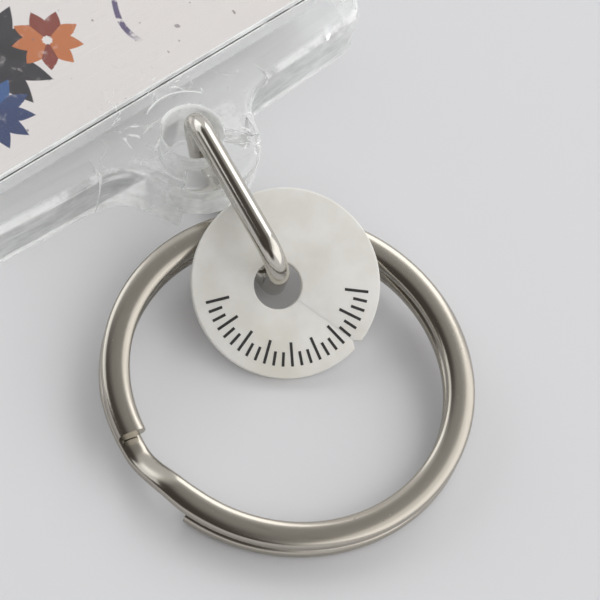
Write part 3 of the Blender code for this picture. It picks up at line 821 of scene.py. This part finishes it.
def make_link(finish):
    """The wire link: round wire bent through four corners, its two ends butted on the lower run."""
    tree, bench, given = geometry_tree("bent_wire", (
        ("Wire Diameter", "NodeSocketFloat"), ("Bend Radius", "NodeSocketFloat"),
        ("Bend Steps", "NodeSocketInt"), ("Round Steps", "NodeSocketInt"), ("Finish", "NodeSocketMaterial")))
    line = bench.add("GeometryNodeMeshToCurve", None, {"Mesh": given["Geometry"]})
    bends = bench.add("GeometryNodeFilletCurve", {"mode": "POLY"}, {
        "Curve": line, "Count": given["Bend Steps"], "Radius": given["Bend Radius"]})
    section = bench.add("GeometryNodeCurvePrimitiveCircle", {"mode": "RADIUS"}, {
        "Resolution": given["Round Steps"], "Radius": given["Wire Diameter"] * 0.5})
    wire = bench.add("GeometryNodeCurveToMesh", None, {
        "Curve": bends, "Profile Curve": section, "Fill Caps": True})
    close_tree(bench, wire, given["Finish"])

    stops = [(LINK_BUTT + LINK_BUTT_GAP / 2, 0.0), (LINK_FOOT, 0.0), (LINK_HEAD, LINK_HEIGHT),
             (LINK_NEAR, LINK_HEIGHT), (LINK_NEAR, 0.0), (LINK_BUTT - LINK_BUTT_GAP / 2, 0.0)]
    run = bpy.data.meshes.new("link_wire")
    run.from_pydata([(x, 0.0, z) for x, z in stops], [(i, i + 1) for i in range(len(stops) - 1)], [])
    link = put("link_wire", run)
    grow(link, tree, {"Wire Diameter": LINK_WIRE, "Bend Radius": LINK_BEND, "Bend Steps": 14,
                      "Round Steps": 32, "Finish": finish})
    link.data.transform(link_place())
    shade(link.data, math.radians(40.0))
    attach(link, "link")
    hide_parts("wire_link")
    return link


def ring_place():
    """The ring's place: hung on the link's far end, tipped over its lower run."""
    return (Matrix.Translation((EYE_X, 0.0, 0.0)) @ Matrix.Rotation(LINK_YAW, 4, "Z")
            @ Matrix.Translation(RING_CROSSING) @ Matrix.Rotation(RING_YAW, 4, "Z")
            @ Matrix.Rotation(RING_TILT, 4, "Y"))


def make_ring(finish):
    """The split ring: one flat-sided wire that runs twice round and climbs a step between its two turns."""
    tree, bench, given = geometry_tree("wound_ring", (
        ("Mean Radius", "NodeSocketFloat"), ("Wire Width", "NodeSocketFloat"),
        ("Wire Height", "NodeSocketFloat"), ("Turn Pitch", "NodeSocketFloat"),
        ("First Angle", "NodeSocketFloat"), ("Last Angle", "NodeSocketFloat"),
        ("Climb Angle", "NodeSocketFloat"), ("Climb Arc", "NodeSocketFloat"),
        ("Climb Squeeze", "NodeSocketFloat"), ("Squareness", "NodeSocketFloat"), ("Sections", "NodeSocketInt"),
        ("Round Steps", "NodeSocketInt"), ("Finish", "NodeSocketMaterial")))
    straight = bench.add("GeometryNodeCurvePrimitiveLine", None, {"End": (0.0, 1.0, 0.0)})
    points = bench.add("GeometryNodeResampleCurve", None, {"Curve": straight, "Count": given["Sections"]})
    share = bench.add("GeometryNodeSplineParameter", out="Factor")
    angle = given["First Angle"] + share * (given["Last Angle"] - given["First Angle"])
    climb = bench.sum("MAXIMUM", bench.sum(
        "MINIMUM", (angle - given["Climb Angle"]) / given["Climb Arc"], 1.0), 0.0)
    height = bench.cosine(climb * math.pi) * given["Turn Pitch"] * -0.5
    place = bench.add("ShaderNodeCombineXYZ", None, {
        "X": given["Mean Radius"] * (bench.cosine(angle) + 1.0),
        "Y": given["Mean Radius"] * bench.sine(angle), "Z": height})
    wound = bench.add("GeometryNodeSetPosition", None, {"Geometry": points, "Position": place})
    near_climb = (angle - given["Climb Angle"]) / given["Climb Arc"] * 0.42 + 0.45
    pinch = bench.sine(bench.sum("MAXIMUM", bench.sum("MINIMUM", near_climb, 1.0), 0.0) * math.pi)
    squeeze = 1.0 - pinch * given["Climb Squeeze"]
    upright = bench.add("GeometryNodeSetCurveNormal", {"mode": "Z_UP"}, {"Curve": wound})
    circle = bench.add("GeometryNodeCurvePrimitiveCircle", {"mode": "RADIUS"}, {
        "Resolution": given["Round Steps"], "Radius": 1.0})
    spot = bench.add("GeometryNodeInputPosition")
    axes = bench.add("ShaderNodeSeparateXYZ", None, {"Vector": spot})
    reach = []
    for axis, size in (("X", "Wire Width"), ("Y", "Wire Height")):
        flat = abs(axes[axis]) ** (2.0 / given["Squareness"])
        reach.append(bench.sum("SIGN", axes[axis]) * flat * given[size] * 0.5)
    corner = bench.add("ShaderNodeCombineXYZ", None, {"X": reach[0], "Y": reach[1], "Z": 0.0})
    section = bench.add("GeometryNodeSetPosition", None, {"Geometry": circle, "Position": corner})
    wire = bench.add("GeometryNodeCurveToMesh", None, {
        "Curve": upright, "Profile Curve": section, "Scale": squeeze, "Fill Caps": True})
    close_tree(bench, wire, given["Finish"])

    ring = put("ring_coil", bpy.data.meshes.new("ring_coil"))
    grow(ring, tree, {
        "Mean Radius": RING_MEAN, "Wire Width": RING_WIRE_WIDTH, "Wire Height": RING_WIRE_HEIGHT,
        "Turn Pitch": RING_PITCH, "First Angle": RING_LOWER_END, "Last Angle": RING_UPPER_END,
        "Climb Angle": RING_CLIMB_START, "Climb Arc": RING_CLIMB_ARC, "Climb Squeeze": 0.15, "Squareness": 2.7,
        "Sections": 520, "Round Steps": 40, "Finish": finish})
    ring.data.transform(ring_place())
    shade(ring.data, math.radians(50.0))
    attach(ring, "ring")
    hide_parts("split_ring")
    return ring


def disc_place():
    """The tag disc's place: its origin is its hole's middle, +X runs down its slope."""
    return (Matrix.Translation(DISC_PIVOT) @ Matrix.Rotation(DISC_YAW, 4, "Z")
            @ Matrix.Rotation(DISC_TILT, 4, "Y"))


def disc_outline(inset):
    """The disc about its middle, its notch towards +X: the rim one way round, the hole the other."""
    neck = DISC_RADIUS - DISC_NOTCH_DEPTH
    mouth = math.asin(DISC_NOTCH_WIDTH / 2 / DISC_RADIUS)
    slit = math.asin(DISC_SLIT / 2 / DISC_HOLE)
    hole = Matrix.Rotation(-DISC_NOTCH_TURN, 2) @ Vector((-DISC_CENTRE[0], -DISC_CENTRE[1]))
    bearing = math.atan2(-hole.y, neck - hole.x)
    rim = arc((0.0, 0.0), DISC_RADIUS - inset, mouth, math.tau - mouth, 160)
    bore = arc(hole, DISC_HOLE + inset, bearing - slit + math.tau, bearing + slit, 72)
    return rim + [(neck, -DISC_SLIT / 2)] + bore + [(neck, DISC_SLIT / 2)]


def make_disc(finish):
    """The tag disc: a thin washer, slit from its hole to a small notch in its rim."""
    sides = soften([(0.5 * MM, 0.0), (0.0, 0.0), (0.0, DISC_THICKNESS), (0.5 * MM, DISC_THICKNESS)],
                   (DISC_EDGE, DISC_EDGE), 4)[1:-1]
    disc = put("tag_disc_body", stacked("tag_disc_body", [(disc_outline(inset), z) for inset, z in sides]), finish)
    middle = Matrix.Translation((*DISC_CENTRE, 0.0)) @ Matrix.Rotation(DISC_NOTCH_TURN, 4, "Z")
    disc.data.transform(disc_place() @ middle)
    shade(disc.data, math.radians(35.0))
    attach(disc, "disc")
    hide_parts("tag_disc")
    return disc


def make_marks(finish):
    """Plain printed index marks round the disc's lower half: bars, every third one long."""
    tree, bench, given = geometry_tree("index_marks", (
        ("Outer Radius", "NodeSocketFloat"), ("Long Mark", "NodeSocketFloat"),
        ("Short Mark", "NodeSocketFloat"), ("Mark Width", "NodeSocketFloat"),
        ("Ink Height", "NodeSocketFloat"), ("First Angle", "NodeSocketFloat"),
        ("Last Angle", "NodeSocketFloat"), ("Marks", "NodeSocketInt"), ("Finish", "NodeSocketMaterial")))
    row = bench.add("GeometryNodeMeshLine", {"mode": "OFFSET"}, {"Count": given["Marks"]})
    number = bench.add("GeometryNodeInputIndex")
    angle = given["First Angle"] + (given["Last Angle"] - given["First Angle"]) * number / (given["Marks"] - 1.0)
    is_long = bench.sum("LESS_THAN", number % 3.0, 0.5)
    size = given["Short Mark"] + (given["Long Mark"] - given["Short Mark"]) * is_long
    radius = given["Outer Radius"] - size * 0.5
    place = bench.add("ShaderNodeCombineXYZ", None, {
        "X": radius * bench.cosine(angle), "Y": radius * bench.sine(angle), "Z": 0.0})
    spread = bench.add("GeometryNodeSetPosition", None, {"Geometry": row, "Position": place})
    bar = bench.add("GeometryNodeMeshCube", None, {
        "Size": bench.add("ShaderNodeCombineXYZ", None, {
            "X": 1.0, "Y": given["Mark Width"], "Z": given["Ink Height"]})})
    turn = bench.add("ShaderNodeCombineXYZ", None, {"X": 0.0, "Y": 0.0, "Z": angle})
    stretch = bench.add("ShaderNodeCombineXYZ", None, {"X": size, "Y": 1.0, "Z": 1.0})
    marks = bench.add("GeometryNodeInstanceOnPoints", None, {
        "Points": spread, "Instance": bar, "Rotation": turn, "Scale": stretch})
    close_tree(bench, marks, given["Finish"])

    ink = put("index_marks", bpy.data.meshes.new("index_marks"))
    grow(ink, tree, {
        "Outer Radius": 5.55 * MM, "Long Mark": 1.6 * MM, "Short Mark": 0.95 * MM,
        "Mark Width": 0.19 * MM, "Ink Height": 0.012 * MM,
        "First Angle": math.radians(-75.0), "Last Angle": math.radians(85.0), "Marks": 25,
        "Finish": finish})
    lift = Matrix.Translation((*DISC_CENTRE, DISC_THICKNESS + 0.004 * MM))
    ink.data.transform(disc_place() @ lift)
    shade(ink.data, math.radians(30.0))
    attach(ink, "disc")
    return ink


def dress_card(finish):
    """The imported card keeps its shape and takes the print."""
    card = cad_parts["printed_card"]
    card.data.materials.clear()
    card.data.materials.append(finish)
    return card


def make_table(finish):
    """A pale table top far wider than any view of the keychain."""
    bm = bmesh.new()
    bmesh.ops.create_grid(bm, x_segments=8, y_segments=8, size=3.0)
    table = put("table_top", mesh_of(bm, "table_top"), finish)
    table.data.transform(Matrix.Translation((0.0, 0.0, -0.05 * MM)))
    return table


def light_room():
    """A pale room with a dark, warm ceiling over the camera, and soft lamps at both sides and behind."""
    world = bpy.data.worlds.new("studio")
    bpy.context.scene.world = world
    world.use_nodes = True
    world.node_tree.nodes.clear()
    bench = Bench(world.node_tree)
    output = bench.add("ShaderNodeOutputWorld")
    way = bench.add("ShaderNodeTexCoord", out="Generated")
    height = bench.add("ShaderNodeSeparateXYZ", None, {"Vector": way})["Z"]
    walls = bench.add("ShaderNodeValToRGB", {"stops": (
        (0.0, (0.78, 0.78, 0.80, 1.0)), (0.50, (0.80, 0.80, 0.81, 1.0)), (0.74, (0.84, 0.84, 0.84, 1.0)),
        (0.88, (0.36, 0.355, 0.345, 1.0)))}, {"Fac": height})
    room = walls
    for bearing, lift, core, edge in DARK_PARTS:
        toward = bench.add("ShaderNodeVectorMath", {"operation": "DOT_PRODUCT"}, {
            0: way, 1: heading(bearing, lift)}, out="Value")
        room = bench.mix(bench.step(toward, math.cos(edge), math.cos(core)), room, (0.085, 0.075, 0.065, 1.0))
    back = bench.add("ShaderNodeBackground", None, {"Color": room, "Strength": 1.0})
    plain = bench.add("ShaderNodeBackground", None, {"Color": (0.78, 0.78, 0.79, 1.0), "Strength": 1.0})
    seen = bench.add("ShaderNodeLightPath", out="Is Camera Ray")
    bench.feed(output.inputs["Surface"], bench.add("ShaderNodeMixShader", None, {0: seen, 1: back, 2: plain}))
    lamps = (
        ("lamp_right", 45.0, 42.0, 0.55, (0.80, 0.62), 1.26, (1.0, 0.99, 0.975)),
        ("lamp_left", 193.0, 27.0, 0.55, (0.50, 0.36), 0.65, (0.94, 0.97, 1.0)),
        ("lamp_behind", 113.0, 34.0, 0.60, (0.29, 0.33), 0.52, (1.0, 1.0, 1.0)),
        ("lamp_front", -50.0, 55.0, 0.62, (0.45, 0.40), 0.56, (1.0, 0.99, 0.98)),
    )
    target = Vector(AIM)
    for name, bearing, height, distance, size, power, tone in lamps:
        lamp = bpy.data.lights.new(name, "AREA")
        lamp.shape = "RECTANGLE"
        lamp.size, lamp.size_y = size
        lamp.energy = power
        lamp.color = tone
        holder = bpy.data.objects.new(name, lamp)
        bpy.context.scene.collection.objects.link(holder)
        holder.visible_glossy = holder.visible_transmission = name != "lamp_front"
        away = heading(math.radians(bearing), math.radians(height))
        holder.location = target + away * distance
        holder.rotation_mode = "QUATERNION"
        holder.rotation_quaternion = away.to_track_quat("Z", "Y")


def set_camera():
    """The camera where the photograph was taken from, rolled as it was held."""
    target = Vector(AIM)
    out = heading(CAMERA_BEARING, CAMERA_HEIGHT)
    level = (-out).cross(Vector((0.0, 0.0, 1.0))).normalized()
    upward = level.cross(-out)
    right = level * math.cos(CAMERA_ROLL) + upward * math.sin(CAMERA_ROLL)
    up = upward * math.cos(CAMERA_ROLL) - level * math.sin(CAMERA_ROLL)
    lens = bpy.data.cameras.new("camera")
    camera = bpy.data.objects.new("camera", lens)
    bpy.context.scene.collection.objects.link(camera)
    camera.matrix_world = Matrix((
        (right.x, up.x, out.x, target.x + out.x * CAMERA_DISTANCE),
        (right.y, up.y, out.y, target.y + out.y * CAMERA_DISTANCE),
        (right.z, up.z, out.z, target.z + out.z * CAMERA_DISTANCE),
        (0.0, 0.0, 0.0, 1.0)))
    half_view = CAMERA_PICTURE / 2 / CAMERA_PIXELS_PER_MM * MM
    lens.angle = 2 * math.atan(half_view / CAMERA_DISTANCE)
    lens.clip_start = 0.01
    lens.clip_end = 20.0
    lens.dof.use_dof = False
    bpy.context.scene.camera = camera


bpy.context.scene.view_settings.view_transform = "Standard"
bpy.context.scene.cycles.max_bounces = 32
bpy.context.scene.cycles.transmission_bounces = 32
set_camera()
make_tray(clear_finish("moulded_clear", (0.988, 0.992, 0.991, 1.0), 0.05, 0.36,
                       (0.50, 0.55, 0.05), (26.6 * MM, 16.6 * MM, -1.0 * MM), (0.35, 0.90)))
# The cover's outer walls are milky only in a band at the top edge: a painted highlight standing in for the bright
# line along the seam.
make_cover(clear_finish("pressed_clear", (0.988, 0.992, 0.990, 1.0), 0.03, 0.34,
                         (0.0, 1.5, 0.0), (23.88 * MM, 14.98 * MM, 4.05 * MM), (0.82, 0.985)))
dress_card(card_finish())
make_link(nickel_finish("link_nickel", rgb(216, 212, 205), 0.08, along_link))
make_ring(nickel_finish("ring_nickel", rgb(186, 179, 169), 0.15, along_ring))
make_disc(disc_finish())
make_marks(ink_finish())
make_table(table_finish())
light_room()
